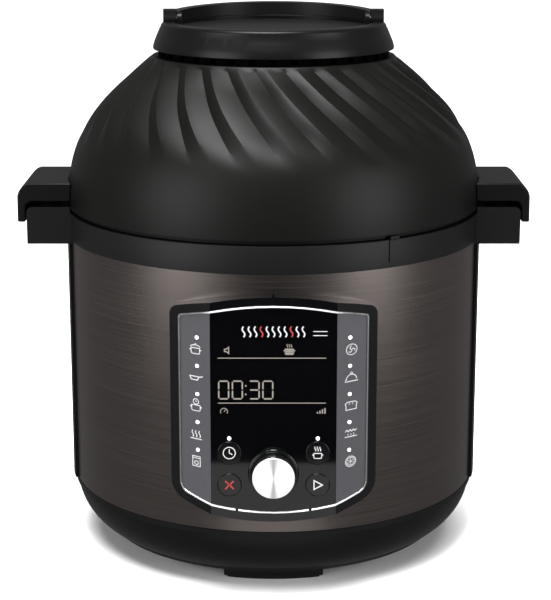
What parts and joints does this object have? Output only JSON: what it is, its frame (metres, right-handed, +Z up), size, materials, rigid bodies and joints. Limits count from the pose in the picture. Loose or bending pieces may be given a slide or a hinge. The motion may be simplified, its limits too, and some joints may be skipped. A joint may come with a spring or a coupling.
{
  "type": "electric pressure cooker",
  "caption": "Round countertop multi cooker: dark brushed steel body, front panel with dial, side grips, and a domed air-frying lid with a fold-up carry handle.",
  "frame": {"origin": "on the pot's axis, level with the undersides of the feet", "axes": "+Z up along the pot's axis, -Y towards the control panel, +X to the right as seen from the front"},
  "size_m": [0.372, 0.344, 0.394],
  "materials": {
    "satin_black_plastic": "satin moulded black",
    "collar_plastic": "satin moulded charcoal",
    "soft_black_plastic": "fine matt black",
    "gloss_black_frame": "polished black",
    "window": "polished smoked black",
    "key_film": "satin grey",
    "black_stainless": "circumferentially brushed, dark",
    "stainless": "satin stainless",
    "zinc_steel": "plain zinc-plated steel",
    "dark_steel": "dark coated steel",
    "cast_aluminium": "turned cast aluminium",
    "element_sheath": "heat-darkened sheath",
    "bright_line": "polished",
    "dial_side": "polished",
    "dial_face": "spun silver",
    "light_pipe": "clear white",
    "circuit_board": "green solder mask",
    "display_block": "dark display block",
    "clear_plastic": "clear moulded",
    "ceramic": "cream thermostat body"
  },
  "bodies": {
    "base": {"foot_pads": "soft_black_plastic", "bottom_cover": "dark_steel", "base_skirt": "satin_black_plastic", "front_casing": "black_stainless", "rear_casing": "black_stainless", "side_trims": "satin_black_plastic", "top_collar": "collar_plastic", "steel_rim": "stainless", "heat_housing": "zinc_steel", "heating_plate": "cast_aluminium", "heating_element": "element_sheath", "sensor_bracket": "zinc_steel", "sensor_spring": "zinc_steel", "power_board": "circuit_board", "base_screws": "zinc_steel", "control_bezel": "gloss_black_frame", "chrome_trim": "bright_line", "display_lens": "window", "left_key_strip": "key_film", "right_key_strip": "key_film", "indicator_lights": "light_pipe", "control_board": "circuit_board", "display_module": "display_block", "dial_encoder": "zinc_steel", "dial_ring": "gloss_black_frame", "rear_socket_panel": "satin_black_plastic", "mains_inlet": "soft_black_plastic", "lid_socket": "soft_black_plastic", "collector_bracket": "satin_black_plastic"},
    "sensor": {"sensor_plunger": "zinc_steel"},
    "dial_switch": {"dial_plunger": "zinc_steel"},
    "dial": {"dial_shaft": "zinc_steel", "dial_knob": "dial_side", "dial_cap": "dial_face"},
    "delay_key": {"delay_button": "gloss_black_frame"},
    "keep_warm_key": {"keep_warm_button": "gloss_black_frame"},
    "cancel_key": {"cancel_button": "gloss_black_frame"},
    "start_key": {"start_button": "gloss_black_frame"},
    "collector": {"collector_cup": "clear_plastic"},
    "pot": {"inner_pot": "stainless"},
    "lid": {"lid_rim": "soft_black_plastic", "lid_dome": "satin_black_plastic", "lid_lugs": "satin_black_plastic", "vent_ring": "soft_black_plastic", "lid_cap": "satin_black_plastic", "cap_disc": "satin_black_plastic", "handle_pins": "zinc_steel", "heat_shield": "stainless", "lid_element": "element_sheath", "element_cover": "stainless", "lid_thermostat": "ceramic", "motor_bracket": "zinc_steel", "lid_motor": "zinc_steel", "lid_cord_gland": "soft_black_plastic", "lid_screws": "zinc_steel"},
    "carry_handle": {"lid_handle": "satin_black_plastic"},
    "fan_rotor": {"motor_shaft": "zinc_steel", "hot_fan": "zinc_steel", "cooling_fan": "dark_steel"}
  },
  "joints": [
    {"name": "pot_lift", "type": "slide", "parent": "base", "child": "pot", "axis": [0, 0, 1], "range_m": [0, 0.2]},
    {"name": "lid_lift", "type": "slide", "parent": "pot", "child": "lid", "axis": [0, 0, 1], "range_m": [0, 0.15]},
    {"name": "handle_fold", "type": "hinge", "parent": "lid", "child": "carry_handle", "pos_m": [0, 0, 0.387], "axis": [1, 0, 0], "range_deg": [0, 90]},
    {"name": "fan_spin", "type": "hinge", "parent": "lid", "child": "fan_rotor", "pos_m": [0, 0, 0.31], "axis": [0, 0, 1], "continuous": true},
    {"name": "dial_press", "type": "slide", "parent": "base", "child": "dial_switch", "axis": [0, 1, 0], "range_m": [0, 0.001], "stiffness_N_per_m": 800, "springref_m": -0.001},
    {"name": "dial_turn", "type": "hinge", "parent": "dial_switch", "child": "dial", "pos_m": [0, -0.165, 0.094], "axis": [0, 1, 0], "continuous": true},
    {"name": "delay_press", "type": "slide", "parent": "base", "child": "delay_key", "axis": [0, 1, 0], "range_m": [0, 0.0007], "stiffness_N_per_m": 500, "springref_m": -0.001},
    {"name": "keep_warm_press", "type": "slide", "parent": "base", "child": "keep_warm_key", "axis": [0, 1, 0], "range_m": [0, 0.0007], "stiffness_N_per_m": 500, "springref_m": -0.001},
    {"name": "cancel_press", "type": "slide", "parent": "base", "child": "cancel_key", "axis": [0, 1, 0], "range_m": [0, 0.0007], "stiffness_N_per_m": 500, "springref_m": -0.001},
    {"name": "start_press", "type": "slide", "parent": "base", "child": "start_key", "axis": [0, 1, 0], "range_m": [0, 0.0007], "stiffness_N_per_m": 500, "springref_m": -0.001},
    {"name": "collector_slide", "type": "slide", "parent": "base", "child": "collector", "axis": [0, 1, 0], "range_m": [0, 0.05]},
    {"name": "sensor_press", "type": "slide", "parent": "base", "child": "sensor", "axis": [0, 0, -1], "range_m": [0, 0.002], "stiffness_N_per_m": 1200, "springref_m": -0.003, "deforming": ["sensor_spring"]}
  ]
}
